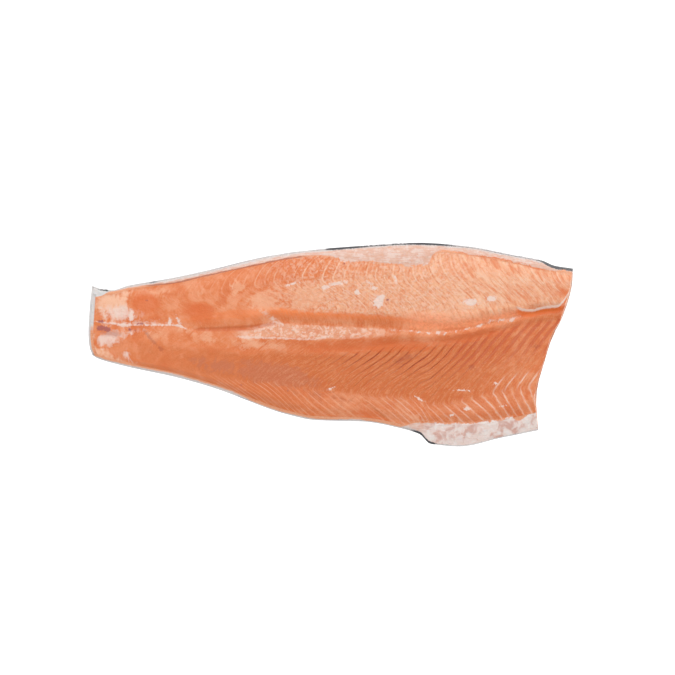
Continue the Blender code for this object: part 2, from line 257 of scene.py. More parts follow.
def along(share, layer, y):
    """The x of a share of the length: -1 at the layer's tail end, 0 at the flesh's, 1 at the shoulder cut."""
    tail, shoulder = smooth(TAIL_CUT, y), smooth(SHOULDER_CUT, y)
    inside = between(tail + FLESH_TAIL_INSET, shoulder, np.maximum(share, 0))
    return np.where(share < 0, tail + between(FLESH_TAIL_INSET, layer.tail, -share), inside)


def settle(share, layer, stations, row):
    """The (x, y) at a share of the length and a row number. stations gives the y of all whole rows at x."""
    low = np.minimum(row.astype(int), len(stations(np.zeros(1))) - 2)
    x = between(BACK_EDGE[0][0], BACK_EDGE[-1][0], np.clip(share, 0, 1))
    for _ in range(PASSES):
        places = stations(x)
        start, end = (np.take_along_axis(places, low[None] + next_row, 0)[0] for next_row in (0, 1))
        y = between(start, end, row - low)
        x = along(share, layer, y)
    return x, y


def lean_back(share, x, z):
    """The x of a point, drawn back by its height near the shoulder cut, because the knife leaned."""
    return x - CUT_LEAN * z * ease((share - 1 + CUT_LEAN_REACH) / CUT_LEAN_REACH)


def slab(columns, rows):
    """A closed slab whose places are whole column and row numbers, its underside at 0 and its top at 1."""
    bm = bmesh.new()
    to_index = Matrix.Diagonal((columns, rows, 1, 1)) @ Matrix.Translation((0.5, 0.5, 0))
    bmesh.ops.create_grid(bm, x_segments=columns, y_segments=rows, size=0.5, matrix=to_index)
    lifted = bmesh.ops.extrude_face_region(bm, geom=bm.faces[:])["geom"]
    top = [v for v in lifted if isinstance(v, bmesh.types.BMVert)]
    bmesh.ops.translate(bm, verts=top, vec=(0, 0, 1))
    bmesh.ops.recalc_face_normals(bm, faces=bm.faces)
    return bm


def cut_edges(bm, axis, cuts, wanted):
    """Cuts each edge that runs along an axis of the slab, where wanted says yes to its two ends."""
    chosen = []
    for edge in bm.edges:
        start, end = (v.co for v in edge.verts)
        if abs(end[axis] - start[axis]) > NEAR and wanted(start, end):
            chosen.append(edge)
    bmesh.ops.subdivide_edges(bm, edges=chosen, cuts=cuts, use_grid_fill=True)


def mesh_of(bm, name):
    """The slab as an object's mesh, and the column, row and height of its points."""
    bmesh.ops.recalc_face_normals(bm, faces=bm.faces)
    mesh = bpy.data.meshes.new(name)
    bm.to_mesh(mesh)
    bm.free()
    places = np.zeros(len(mesh.vertices) * 3, np.float32)
    mesh.vertices.foreach_get("co", places)
    return mesh, *places.reshape(-1, 3).T.astype(float)


def give(mesh, name, values):
    """Stores a number for each point of the mesh, for its material to read."""
    mesh.attributes.new(name, "FLOAT", "POINT").data.foreach_set("value", values.astype(np.float32))


def give_faces(mesh, name, chosen):
    """Marks the faces whose points are all chosen."""
    corners = np.zeros(len(mesh.loops), np.int32)
    mesh.loops.foreach_get("vertex_index", corners)
    starts = np.zeros(len(mesh.polygons), np.int32)
    mesh.polygons.foreach_get("loop_start", starts)
    whole = np.minimum.reduceat(chosen[corners].astype(np.int8), starts)
    mesh.attributes.new(name, "FLOAT", "FACE").data.foreach_set("value", whole.astype(np.float32))


def place(mesh, name, points, material, slot, corner):
    """Moves the mesh's points to their x, y and z and puts the piece in the scene for its CAD node.

    Edges that turn by more than corner, in degrees, stay sharp.
    """
    mesh.vertices.foreach_set("co", (np.stack(points, axis=1) * MM).astype(np.float32).ravel())
    mesh.update()
    mesh.shade_smooth()
    mesh.set_sharp_from_angle(angle=np.radians(corner))
    mesh.materials.append(material)
    piece = bpy.data.objects.new(name, mesh)
    bpy.context.scene.collection.objects.link(piece)
    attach(piece, "root")
    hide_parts(slot)


def round_rows(layer, x, steps, middle_rows):
    """The y of a layer's rows at x: the steps of its belly round, even rows, the steps of its back round."""
    belly_edge, back_edge = edges(layer, x)
    belly_round, back_round = rounds(layer, x)
    belly_end, back_end = belly_edge + belly_round, back_edge - back_round
    rows = [belly_edge + belly_round * (1 - s) for s in steps]
    rows += [between(belly_end, back_end, k / middle_rows) for k in range(1, middle_rows)]
    return rows + [back_edge - back_round * (1 - s) for s in steps[::-1]]


def tray_stations(outside, pocket):
    """Two functions that give the y of a tray's rows at x: for its underside, and for its rims and pocket.

    The underside's rounds have two steps more, because the top has a rim and a wall at each side.
    """

    def below(x):
        steps = np.insert(ROUND_STEPS, 1, np.linspace(ROUND_STEPS[0], ROUND_STEPS[1], 4)[1:3])
        return np.array(round_rows(outside, x, steps, MIDDLE_ROWS))

    def above(x):
        belly_edge, back_edge = edges(outside, x)
        belly_wall, back_wall = edges(pocket, x)
        inner = round_rows(pocket, x, ROUND_STEPS, MIDDLE_ROWS)
        return np.array([belly_edge, belly_wall - RIM_SLANT] + inner + [back_wall + RIM_SLANT, back_edge])

    return below, above


TRAY_ROWS = 2 * (len(ROUND_STEPS) + 1) + MIDDLE_ROWS


def rows_in(row):
    """How many rows a tray's point lies in from the nearer long edge."""
    return np.minimum(row, TRAY_ROWS - row)


def tray(name, outside, pocket, tail_columns, along_cuts, rim_cuts):
    """A tray's mesh with its points' share of the length, x, y, z, row and height in the slab."""
    bm = slab(SEGMENTS + tail_columns, TRAY_ROWS)
    cut_edges(bm, 0, along_cuts, lambda start, end: True)
    if rim_cuts:
        cut_edges(bm, 1, rim_cuts, lambda s, e: min(s.z, e.z) > 1 - NEAR and min(s.y, e.y) < NEAR)
        cut_edges(bm, 1, rim_cuts, lambda s, e: min(s.z, e.z) > 1 - NEAR and max(s.y, e.y) > TRAY_ROWS - NEAR)
    mesh, column, row, height = mesh_of(bm, name)
    past_tail = column - tail_columns
    share = np.where(past_tail < 0, past_tail / tail_columns, past_tail / SEGMENTS)
    below, above = tray_stations(outside, pocket)
    low_x, low_y = settle(share, outside, below, row)
    high_x, high_y = settle(share, outside, above, row)
    top = height > 0.5
    x, y = np.where(top, high_x, low_x), np.where(top, high_y, low_y)
    on_rim = rows_in(row) < 1 + NEAR
    upper = np.where(on_rim, cut_face(x, y), underside(pocket, x, y))
    z = np.where(top, upper, underside(outside, x, y))
    return mesh, share, x, y, z, row, top


class Wire:
    """An output in a material. Arithmetic on it adds Math nodes, and add puts in any other node."""

    def __init__(self, tree, socket=None):
        self.tree, self.socket = tree, socket

    def add(self, kind, settings=None, sockets=None, out=0):
        """Adds a node, sets its settings and then its sockets, and gives one of its outputs."""
        node = self.tree.nodes.new(kind)
        for name, value in (settings or {}).items():
            setattr(node, name, value)
        for name, value in (sockets or {}).items():
            if isinstance(value, Wire):
                self.tree.links.new(value.socket, node.inputs[name])
            else:
                node.inputs[name].default_value = value
        return Wire(self.tree, node.outputs[out])

    def math(self, operation, *values):
        return self.add("ShaderNodeMath", {"operation": operation}, dict(enumerate(values)))

    def __add__(self, other):
        return self.math("ADD", self, other)

    __radd__ = __add__

    def __sub__(self, other):
        return self.math("SUBTRACT", self, other)

    def __rsub__(self, other):
        return self.math("SUBTRACT", other, self)

    def __mul__(self, other):
        return self.math("MULTIPLY", self, other)

    __rmul__ = __mul__

    def __truediv__(self, other):
        return self.math("DIVIDE", self, other)

    def absolute(self):
        return self.math("ABSOLUTE", self)

    def off_whole(self):
        """How far this is from the nearest whole number."""
        return self.math("PINGPONG", self, 0.5)

    def step(self, low, high):
        """0 where this is low, 1 where it is high, and eased between them."""
        sockets = {"Value": self, "From Min": low, "From Max": high}
        return self.add("ShaderNodeMapRange", {"interpolation_type": "SMOOTHSTEP"}, sockets)

    def mix(self, first, second):
        """The first colour where this is 0, the second where it is 1. Plain colours are screen colours."""
        first, second = (c if isinstance(c, Wire) else (*seen(*c), 1) for c in (first, second))
        return self.add("ShaderNodeMix", {"data_type": "RGBA"}, {0: self, 6: first, 7: second}, out=2)

    def noise(self, scale, detail=2.0, roughness=0.5, swirl=0.0):
        """Fractal noise, mostly between -0.5 and 0.5. The scale is how many bumps a millimetre has."""
        sockets = {
            "Vector": self, "Scale": scale, "Detail": detail, "Roughness": roughness, "Distortion": swirl,
        }
        return self.add("ShaderNodeTexNoise", None, sockets).step(0.3, 0.7) - 0.5


# What these lamps make of a white surface, and the sheen that they lay over every colour.
LIGHT, SHEEN = 1.15, 0.033


def seen(red, green, blue):
    """The base colour that reads as this screen colour, from 0 to 255, under these lamps.

    A value over 255 makes up for the shade that lies on a slope.
    """
    shares = (np.array((red, green, blue)) / 255 + 0.055) / 1.055
    return np.maximum((shares**2.4 - SHEEN) / LIGHT, 0.002)


def new_material(name, **constants):
    """A material with its constant values set, its shader, and its places in millimetres."""
    material = bpy.data.materials.new(name)
    material.use_nodes = True
    tree = material.node_tree
    shader = tree.nodes["Principled BSDF"]
    for socket, value in constants.items():
        shader.inputs[socket.replace("_", " ")].default_value = value
    start = Wire(tree)
    metres = start.add("ShaderNodeTexCoord", out="Object")
    in_mm = start.add("ShaderNodeVectorMath", {"operation": "SCALE"}, {0: metres, "Scale": 1 / MM})
    return material, shader, start, in_mm


def connect(shader, **wires):
    for socket, wire in wires.items():
        wire.tree.links.new(wire.socket, shader.inputs[socket.replace("_", " ")])


def read(start, name):
    """The number that the mesh stores under this name."""
    return start.add("ShaderNodeAttribute", {"attribute_name": name}, out="Fac")


def bump(start, height, distance, strength=1.0):
    """A normal from a height in millimetres."""
    sockets = {"Strength": strength, "Distance": distance * MM, "Height": height}
    return start.add("ShaderNodeBump", None, sockets)


SCALE_WIDTH, SCALE_STEP, GIRTH_BY_HEIGHT = 4.2, 2.6, 0.75
BACK_DARK = (
    (-222, 0), (-215, 0.3), (-208, 0.6), (-203, 0), (-172, 0), (-164, 0.5), (-158, 0), (-10, 0.05), (2, 0.85),
    (22, 0.75), (36, 0.45), (66, 0.5), (82, 0.8), (108, 0.6), (120, 0.3), (190, 0.35), (200, 1.5), (225, 1.3),
)
BELLY_DARK = ((-222, 0), (60, 0.1), (76, 0.5), (82, 1), (92, 0.9), (100, 0.1), (192, 0))
SKIN_DARK, SKIN_STEEL = (44, 50, 54), (104, 112, 118)
SKIN_SILVER, SKIN_WHITE, SKIN_INSIDE = (176, 182, 184), (222, 222, 218), (226, 222, 220)

material, shader, start, here = new_material("salmon_skin", Specular_IOR_Level=0.6, Coat_Roughness=0.12)
girth, inside, back_share, rim_dark = (read(start, n) for n in ("girth", "inside", "back_share", "rim_dark"))
x_mm = start.add("ShaderNodeSeparateXYZ", None, {"Vector": here}, out="X")
tint, speckle = here.noise(0.05, 3.0), here.noise(0.55, 3.0, 0.6)
scale_row = girth / SCALE_STEP + tint * 0.25
whole_row = scale_row.math("FLOOR", scale_row)
cell = x_mm / SCALE_WIDTH + (whole_row * 0.5).off_whole()
from_middle = cell.off_whole() * 2
arc = scale_row + from_middle * from_middle * 0.9
scale_edge = arc.math("FRACT", arc)
toward_back = back_share + tint * 0.12
dark, steel = toward_back.step(0.66, 0.86), toward_back.step(0.48, 0.7)
pale_belly = toward_back.step(0.34, 0.14)
colour = steel.mix(SKIN_SILVER, SKIN_STEEL)
colour = dark.mix(colour, SKIN_DARK)
colour = pale_belly.mix(colour, SKIN_WHITE)
spot_cells = start.add("ShaderNodeTexVoronoi", None, {"Vector": here, "Scale": 0.075})
spots = (spot_cells + speckle * 0.12).step(0.24, 0.16) * toward_back.step(0.56, 0.66)
colour = spots.mix(colour, (34, 36, 38))
colour = (scale_edge.step(0.72, 1.0) * (0.45 - pale_belly * 0.27)).mix(colour, (60, 66, 70))
colour = (scale_edge.step(0.35, 0.0) * 0.3).mix(colour, (226, 230, 230))
lateral = (back_share - 0.5).absolute().step(0.012, 0.003)
colour = (lateral * 0.5).mix(colour, (70, 74, 78))
colour = inside.mix(colour, (tint + 0.5).mix(SKIN_INSIDE, (204, 199, 199)))
colour = (rim_dark + speckle * 0.35).step(0.35, 0.6).mix(colour, (66, 66, 70))
height = scale_edge * (1 - inside) + speckle * 0.4
connect(
    shader, Base_Color=colour, Roughness=speckle * 0.16 + 0.32,
    Metallic=(1 - inside) * (1 - pale_belly) * 0.35, Coat_Weight=(1 - inside) * 0.25 + 0.2,
    Normal=bump(start, height, 0.28, 0.7),
)

skin = even_layer(0, 0)
mesh, share, x, y, z, row, top = tray(
    "skin_sheet", skin, even_layer(SKIN_THICKNESS, 0), tail_columns=2, along_cuts=3, rim_cuts=0,
)
belly_edge, back_edge = edges(skin, x)
back_share = (y - belly_edge) / (back_edge - belly_edge)
give(mesh, "girth", (y - belly_edge) + GIRTH_BY_HEIGHT * z * np.where(back_share > 0.5, 1, -1))
give(mesh, "back_share", back_share)
give_faces(mesh, "inside", top)
back_dark = smooth(BACK_DARK, x) * (row > TRAY_ROWS / 2)
belly_dark = smooth(BELLY_DARK, x) * (row < TRAY_ROWS / 2)
give(mesh, "rim_dark", np.where(top & (rows_in(row) < 1 + NEAR), np.maximum(back_dark, belly_dark), 0.0))
place(mesh, "skin_sheet", (lean_back(share, x, z), y, z), material, "skin", corner=50)

# Fat.
# The pale fat and the silvery membrane between muscle and skin. It shows as the band along the back, wide
# where the knife cut into it, and at the front of the belly as the soft flap, which holds no muscle.
FAT_LINE = (
    (-222, 44), (-213, 45.2), (-205.6, 48.9), (-196.4, 50.7), (-169.5, 55.7), (-146.5, 57.8), (-121.4, 63.4),
    (-101.5, 67.8), (-74.7, 73.2), (-35.3, 81), (-18.4, 82.6), (-1.6, 82.2), (5.7, 79.8), (11.7, 76.7),
    (36.9, 76.1), (57.5, 74.3), (78, 72.5), (85.7, 73.6), (91.3, 77.5), (94.1, 83.9), (101.2, 87.2),
    (115.3, 85.3), (136.1, 82.1), (154, 78.7), (173.6, 74.9), (187.8, 71), (200.7, 69.2), (224, 67.5),
)
FLAP_LINE = (
    (-222, -9), (-201.5, -15.4), (-161.5, -23.6), (-146.6, -26.4), (-131.5, -30.6), (-111.6, -36.6),
    (-91.5, -43), (-69.2, -53.7), (-47.3, -61.2), (-25.6, -66.3), (-6.5, -69.2), (22.6, -68.5), (44.3, -73.3),
    (63.6, -75.8), (79.1, -71.9), (108.8, -72.6), (125.7, -72.6), (141.1, -70.6), (156.8, -70.1),
    (161.9, -68.1), (165.8, -66.8), (173.6, -70.1), (180.1, -66.8), (184, -64.2), (192, -62.9),
)
FAT_WHITE, FAT_PINK, FAT_SILVER = (236, 208, 196), (228, 180, 160), (218, 212, 210)
FLAP_PALE, FLAP_PINK, TAIL_SILVER = (240, 219, 211), (220, 176, 163), (226, 222, 220)
FLAP_START, FLAP_FADE = 78, 14
RUFFLES_ALONG, RUFFLES_ACROSS, RUFFLE_LAYER = 0.09, 0.2, 3.0
BAND_SWELL, FLAP_SWELL = 0.5, 1.4


def into_fat(x, y):
    """How many millimetres a place lies beyond the line where the fat takes over from the muscle."""
    return np.maximum(y - smooth(FAT_LINE, x), smooth(FLAP_LINE, x) - y)


def fat_noises(here):
    """The fat's fine grain, its blotches and its clots."""
    return here.noise(1.1, 3.0, 0.65), here.noise(0.16, 4.0, 0.6, 0.6), here.noise(0.1, 3.0, 0.5, 0.6)


def fat_colour(start, here):
    """The fat's own colour, from the numbers that the fat and the muscle both store for it."""
    flap, from_skin = read(start, "flap"), read(start, "from_skin")
    stretched = start.add("ShaderNodeMapping", None, {"Vector": here, "Scale": (0.12, 1.0, 1.0)})
    streaks = stretched.noise(0.9, 3.0, 0.6)
    fine, blotches, clots = fat_noises(here)
    colour = (streaks + blotches * 0.6 + 0.1).step(-0.2, 0.5).mix(FAT_WHITE, FAT_PINK)
    membrane = read(start, "membrane") * (blotches + 0.3).step(0.0, 0.5)
    colour = (membrane * 0.5).mix(colour, (225, 176, 152))
    on_flap = (clots + fine * 0.1).step(-0.05, 0.5).mix(FLAP_PALE, FLAP_PINK)
    on_flap = ((blotches - clots * 0.5).step(0.0, 0.5) * 0.7).mix(on_flap, (246, 236, 231))
    colour = flap.mix(colour, on_flap)
    colour = ((from_skin + streaks * 1.2).step(2.6, 1.0) * (1 - flap) * 0.75).mix(colour, FAT_SILVER)
    colour = (read(start, "silver") + fine * 0.3).step(0.3, 0.7).mix(colour, TAIL_SILVER)
    skin_shows = (read(start, "skin_dark") * 1.5 - from_skin + fine * 0.8).step(-0.2, 0.4)
    return skin_shows.mix(colour, (70, 70, 74))


def meet(start, beyond, colour, fat):
    """The muscle's colour, the fat's where beyond is over 0, and a pink edge or a thin dark line between."""
    border, paler = read(start, "border"), read(start, "paler")
    colour = (beyond.step(-2.2, -0.2) * (0.7 - border * 0.5)).mix(colour, (238, 166, 130))
    line = (beyond + 0.8).absolute().step(1.1, 0.3) * border
    colour = (line * 0.65).mix(colour, paler.mix((164, 94, 78), (220, 116, 66)))
    return beyond.step(-0.5, 0.5).mix(colour, fat)


def give_fat_numbers(mesh, x, y):
    """Stores what fat_colour and meet read."""
    belly_edge, back_edge = edges(even_layer(SKIN_THICKNESS, 0), x)
    at_back = y > (belly_edge + back_edge) / 2
    give(mesh, "flap", ease((x - FLAP_START) / FLAP_FADE) * ~at_back)
    tail_end = ease((-217.5 - x) / 2) * ease((y - 14) / 8)
    at_tab = ease((-198 - x) / 8) * at_back * ease(into_fat(x, y) + 0.5)
    give(mesh, "silver", np.maximum(at_tab, tail_end))
    give(mesh, "membrane", ease((x - 5) / 15) * at_back)
    behind = ease((x + 175) / 12) * ease((-20 - x) / 12)
    in_front = ease((x - 112) / 10) * ease((202 - x) / 10)
    give(mesh, "border", np.maximum(behind, in_front) * at_back)
    give(mesh, "paler", ease((x - 20) / 50))
    give(mesh, "from_skin", np.minimum(y - belly_edge, back_edge - y))
    give(mesh, "skin_dark", np.where(at_back, smooth(BACK_DARK, x), smooth(BELLY_DARK, x)))


material, shader, start, here = new_material(
    "salmon_fat", Specular_IOR_Level=0.55, Subsurface_Weight=0.12, Subsurface_Radius=(1.0, 0.5, 0.3),
    Subsurface_Scale=0.002,
)
fine, blotches, clots = fat_noises(here)
beyond = read(start, "into_fat") + (blotches * 3 + fine * 1.2) * (read(start, "membrane") * 0.8 + 0.2)
muscle = fine.step(-0.4, 0.4).mix((232, 150, 108), (240, 176, 140))
height = fine + clots * 2.0 + blotches
connect(
    shader, Base_Color=meet(start, beyond, muscle, fat_colour(start, here)),
    Roughness=fine * 0.2 + 0.4, Normal=bump(start, height, 0.5, 0.6),
)

fat = even_layer(SKIN_THICKNESS + CLOSE, FAT_TAIL_INSET)
mesh, share, x, y, z, row, top = tray(
    "fat_sheet", fat, flesh_outside(CLOSE), tail_columns=1, along_cuts=8, rim_cuts=9,
)
on_rim = top & (rows_in(row) < 1 + NEAR)
on_flap = ease((x - FLAP_START) / FLAP_FADE) * (row < TRAY_ROWS / 2)
spots = zip(x * RUFFLES_ALONG, y * RUFFLES_ACROSS)
ruffle = np.array([noise.fractal((a, b, RUFFLE_LAYER), 1.0, 2.0, 3) for a, b in spots])
swell = np.sin(np.clip(rows_in(row), 0, 1) * np.pi) * np.where(on_rim, 1, 0)
z = z + swell * (0.5 * ruffle + 0.5) * between(BAND_SWELL, FLAP_SWELL, on_flap)
give_fat_numbers(mesh, x, y)
give(mesh, "into_fat", np.where(on_rim, into_fat(x, y), between(-3, 3, ease((y - 10) / 8))))
place(mesh, "fat_sheet", (lean_back(share, x, z), y, z), material, "fat_layer", corner=50)

# Flesh.
# The muscle: some fifty flakes packed like bent W's, with a thin white sheet of tendon between each two. It
# was cut along the backbone, so the loin stands high and pebbled, with a painted sheen, the belly lies low
# and ribbed, and the granular seat of the backbone runs between them. Spots of tendon, fat and blood lie as
# in the photograph.
FLESH_ROWS = 24
HEIGHT_CUTS, LENGTH_CUTS, ROW_CUTS, ROUND_CUTS = 6, 8, 8, 2
PITCH, CROWDING, SEED, AT_CUT = 9.4, 0.09, 7, 0.99999
WANDER, WANDER_LENGTH = 1.1, 30

# The flank has this share of lines more than the ribs before and past these two segments.
FLANK_LINES, FLANK_CHANGES = 0.3, (25, 36)
APEX = ((-222, 0.75), (-95, 0.76), (-40, 0.67), (40, 0.71), (90, 0.65), (141, 0.6), (192, 0.63))
APEX_SHIFT = ((-222, -60), (0, -59), (60, -54), (100, -49), (128, -43), (175, -29), (205, -21))
BELLY_SHIFT = ((-110, 40), (-60, 42), (40, 38), (100, 34), (135, 30), (160, 22), (180, 16))
LOIN_TILT = ((-222, 1), (80, 1), (160, 0.75), (225, 0.7))
LOIN_HOOK = ((-222, 1), (10, 1), (140, 0), (225, 0))
TAIL_FADE, SHOULDER_FADE, UNEVEN, SPARE = 0.36, 0.15, 0.14, 9
MIDLINE = (
    (-224, 21.2), (-219.5, 21.5), (-201.5, 19.5), (-181.5, 18.4), (-146.6, 18.4), (-138.5, 17.5),
    (-132.5, 14.5), (-116.5, 14.5), (-74.7, 16), (-51.6, 19.4), (-28.6, 18.4), (-0.9, 15.7), (31.4, 14.3),
    (63.6, 13.5), (94.7, 10.9), (118, 13.5), (137.4, 18), (149, 22.5), (163.9, 23.1), (177.4, 29), (225, 40),
)
MIDLINE_WHITE = (
    (-224, 0.4), (-205, 0.6), (-190, 1.2), (-178, 0.6), (-160, 0.3), (-148, 0.6), (-138, 0.9), (-131, 0.2),
    (-125, -1), (40, -1), (60, 0.3), (95, 0.7), (125, 0.6), (160, 0.8), (176, 1.1), (180, -1), (225, -1),
)
CREASE = ((-130, 0), (-118, 0.7), (-100, 0.9), (-75, 1), (-55, 0.6), (-45, 0), (225, 0))
LIP = (
    (165, 36), (169.7, 34.9), (176.1, 32.3), (183.9, 31.6), (193, 33.6), (200.7, 34.9), (209.8, 35.5),
    (216.2, 39.4), (220.8, 45.8), (224, 52),
)
RIDGE_LINE = ((-86.7, 7.4), (-63.6, 6.9), (-37.8, 6), (-19.4, 5.1), (-0.9, 8.3), (10, 10))
STRIP = (
    (-222, 0.02), (-170, 0.08), (-130, 0.2), (-112, 0.28), (-85, 0.3), (-56, 0.24), (-28, 0.19), (60, 0.14),
    (90, 0.08), (137, 0.03), (174, 0.03), (225, 0.03),
)
# How pale the loin is along the fillet: partly its own tone, partly painted light where its top faces the
# lamp.
LOIN_PALE = (
    (-222, 0.12), (-150, 0.06), (-100, 0.1), (-60, 0.18), (-20, 0.4), (20, 0.74), (80, 0.96), (150, 1.0),
    (200, 0.88), (225, 0.75),
)
BELLY_DULL = ((-222, 0.3), (-120, 0.7), (-60, 0.95), (0, 0.95), (60, 1), (120, 0.85), (160, 0.55), (210, 0.3))

# How strong the lines and tones are along the fillet, and where across it the loin's lines begin.
RIBS = ((-222, 0), (-60, 0), (0, 0.5), (40, 1), (170, 1), (205, 0.6), (225, 0.5))
RIB_DEPTH = ((-222, 1), (100, 1), (150, 0.5), (225, 0.4))
DARK_RIBS = ((-222, 0), (-40, 0.1), (0, 0.7), (40, 1), (85, 1), (120, 0.5), (150, 0.3), (225, 0.2))
FLANK = ((-222, 0), (-125, 0), (-90, 0.9), (-30, 0.75), (20, 0.6), (100, 0.65), (150, 1), (225, 1))
LOIN = ((-222, 0), (-175, 0.1), (-130, 0.4), (-80, 0.8), (0, 1), (130, 0.9), (190, 0.3), (225, 0.2))
LOIN_START = ((-222, 0.6), (-60, 0.55), (-20, 0.45), (30, 0.2), (225, 0.15))
TOP_BAND = ((-222, 0.2), (-100, 0.5), (-20, 0.65), (20, 0.4), (90, 0.1), (225, 0))

# Marks as ovals: x and y of the centre, half the length, half the width, and the turn in degrees.
WHITE_SPOTS = (
    (43.7, 39.9, 4.4, 5.6, -20), (46.8, 44, 2.4, 2.4, 0), (39.5, 52, 3, 1.8, -20),
    (23.8, 48.4, 2.2, 2.4, 0), (35.3, 56.2, 3.1, 0.8, -45), (-4.6, 53, 4.6, 1.8, 15),
    (4.6, 55.8, 7.4, 1.4, 12), (-35, 56.2, 4.1, 0.8, 15), (128, 39, 6.5, 3.2, -5),
    (146.1, 42.6, 4.8, 2.4, 5), (59, 60.9, 1.1, 3.2, 15), (125, -59, 2.6, 1.8, 10),
    (111.6, -64.5, 1.7, 1.4, 0), (151.6, -35.7, 1.8, 1, 0), (121.7, -42, 5.1, 0.7, -5),
    (158.6, -56.2, 2.3, 0.7, 0), (80.7, -49.3, 3.6, 0.9, -30),
    (-148.6, 21.3, 1.7, 3, 0), (-140.6, 22.1, 1.3, 4.1, 25), (-184.4, 26.7, 2.2, 5, 0),
    (-102, -47, 3, 0.6, -40), (0, -40, 3, 0.8, 20),
)
TENDONS = (
    (-197, 29, 16, 6, -4), (-206, 7, 11, 6, 10), (-196, 7, 8, 2, 35), (-183, 12, 8, 1.4, 8),
    (-187, 20, 14, 1.2, 0), (-188, -10.6, 2, 5, 33), (-49.3, 20.8, 9, 1.5, -36),
)
PEACH_PATCHES = (
    (-204, 38, 14, 10, 12), (-194, 40, 4, 12, -28), (-214, -6.4, 10, 3.2, -34),
    (-199.5, -15, 10, 2.6, -22),
)
ORANGE_PATCHES = (
    (36.9, -65.5, 14, 5, -15), (214.8, 48, 9, 5, 0), (-120, 30, 14, 9, 0),
    (-163, 26, 5, 4, 0), (-214, 31.8, 1.9, 5.1, 0), (-171, 38, 13, 11, 0),
    (-199.6, -10, 8.3, 1.2, -34), (40, -1, 66, 6, 2), (128, 8, 34, 5, 9),
)
PALE_PATCHES = (
    (79, -68, 9, 2.6, -25), (-118.6, 49.4, 1.6, 5, -30), (-122, 13, 2.4, 4.4, 0),
    (-162, 8.8, 7.4, 4, -10), (-167, 48, 13, 2.6, 5), (-131, 13, 9, 2.4, -20),
    (-115, 8, 9, 5, -20), (-86, 52, 6, 9, -20), (-70, 0, 22, 4, -3), (-60, 40, 14, 10, 0),
    (-22, 44, 18, 12, 0),
)
BLOOD_SPOTS = (
    (-212.5, 15.8, 4.4, 2.6, 0), (-207.5, 14.8, 3.6, 2.2, -12), (-213, 21.9, 2.8, 1.2, -5),
    (-185.8, 14.1, 1.2, 0.9, -20), (-180.7, 13.4, 0.7, 0.6, 0), (-170.1, 41.5, 0.9, 0.6, 0),
    (12, 74.7, 0.9, 0.7, 0), (51.6, 41.5, 1, 0.9, 0), (-82.5, -37.1, 1, 0.8, -20),
    (-39.7, -42.4, 0.6, 0.6, 0), (-176.3, 19.7, 2.6, 0.7, 0),
)
STAINS = (
    (67.3, -12.9, 8, 2.6, 15), (129.6, -19.8, 2.6, 2.6, 0), (188.6, -1.8, 2.3, 1.7, 0),
    (-204.7, 10.6, 8.3, 2.3, -5), (-165.5, 4.8, 0.6, 7.8, 42),
)
MAUVE_PATCHES = ((-51.6, -27.2, 46, 11, -10), (-100.5, -19.4, 26, 6, -8), (-10, -46, 18, 3, -10))


def zigzag(x, across):
    """How far along x the seams are carried at each place across: -1 belly edge, 0 backbone, 1 back edge."""
    apex, tip, level = smooth(APEX, x), smooth(APEX_SHIFT, x), np.ones(np.shape(x))
    end, tilt, hook = tip + smooth(BELLY_SHIFT, x), smooth(LOIN_TILT, x), smooth(LOIN_HOOK, x)
    places = (-level, -apex - 0.02, -apex, -0.8 * apex, -0.6 * apex, -0.33 * apex)
    places += (0 * level, 0.25 * level, 0.63 * level, 0.8 * level, level)
    shifts = (end, between(tip, end, 0.06), tip, 0.86 * tip, 0.62 * tip, 0.28 * tip)
    shifts += (0 * level, -13 * tilt, -46 * tilt, (13 * hook - 54) * tilt, (38 * hook - 60) * tilt)
    return smooth_across(np.stack(places), np.stack(shifts), across)


def ripple(x, y, length, stretch=1.0, layer=0.0, octaves=3):
    """Uneven heights between about -1 and 1, with swells of this length, stretched along x."""
    spots = zip(x / (length * stretch), y / length)
    return np.array([noise.fractal((a, b, layer), 1.0, 2.0, octaves) for a, b in spots])


def ridge_of(distance, width):
    """1 on a line and fading to 0 on both sides of it."""
    return np.exp(-((distance / width) ** 2))


def flesh_stations(x):
    return np.array(round_rows(flesh_outside(), x, ROUND_STEPS, MIDDLE_ROWS))


bm = slab(SEGMENTS, FLESH_ROWS)
rounds_end = len(ROUND_STEPS) - 1
middle = (rounds_end - NEAR, FLESH_ROWS - rounds_end + NEAR)


def at_end(spot):
    return spot.x < NEAR or spot.x > SEGMENTS - NEAR


def shows(spot):
    """Whether a place of the slab is in its top or an end."""
    return spot.z > 1 - NEAR or at_end(spot)


cut_edges(bm, 2, HEIGHT_CUTS, lambda s, e: at_end(s))
cut_edges(bm, 0, LENGTH_CUTS, lambda s, e: s.z > 1 - NEAR)
cut_edges(bm, 1, ROW_CUTS, lambda s, e: shows(s) and min(s.y, e.y) > middle[0] and max(s.y, e.y) < middle[1])
cut_edges(bm, 1, ROUND_CUTS, lambda s, e: shows(s) and abs(s.y - e.y) > 1 - NEAR)
mesh, column, row, height = mesh_of(bm, "flesh_muscle")

whole = np.floor(column)
past = column - whole
seam = whole + past - CROWDING * np.sin(2 * np.pi * past)
widths = np.random.default_rng(SEED).uniform(1 - UNEVEN, 1 + UNEVEN, SEGMENTS + SPARE)
starts = np.concatenate([[0], np.cumsum(widths)]) / widths[:SEGMENTS].sum()
numbers = np.arange(len(starts))
share = np.interp(seam, numbers, starts)
flesh = flesh_outside()
x, y = settle(share, flesh, flesh_stations, row)


def across_at(x, y):
    """How far across a point lies: -1 at the belly edge, 0 at the groove and 1 at the back edge."""
    belly, back = edges(even_layer(0, 0), x)
    groove = smooth(GROOVE, x)
    return (y - groove) / np.where(y > groove, back - groove, groove - belly)


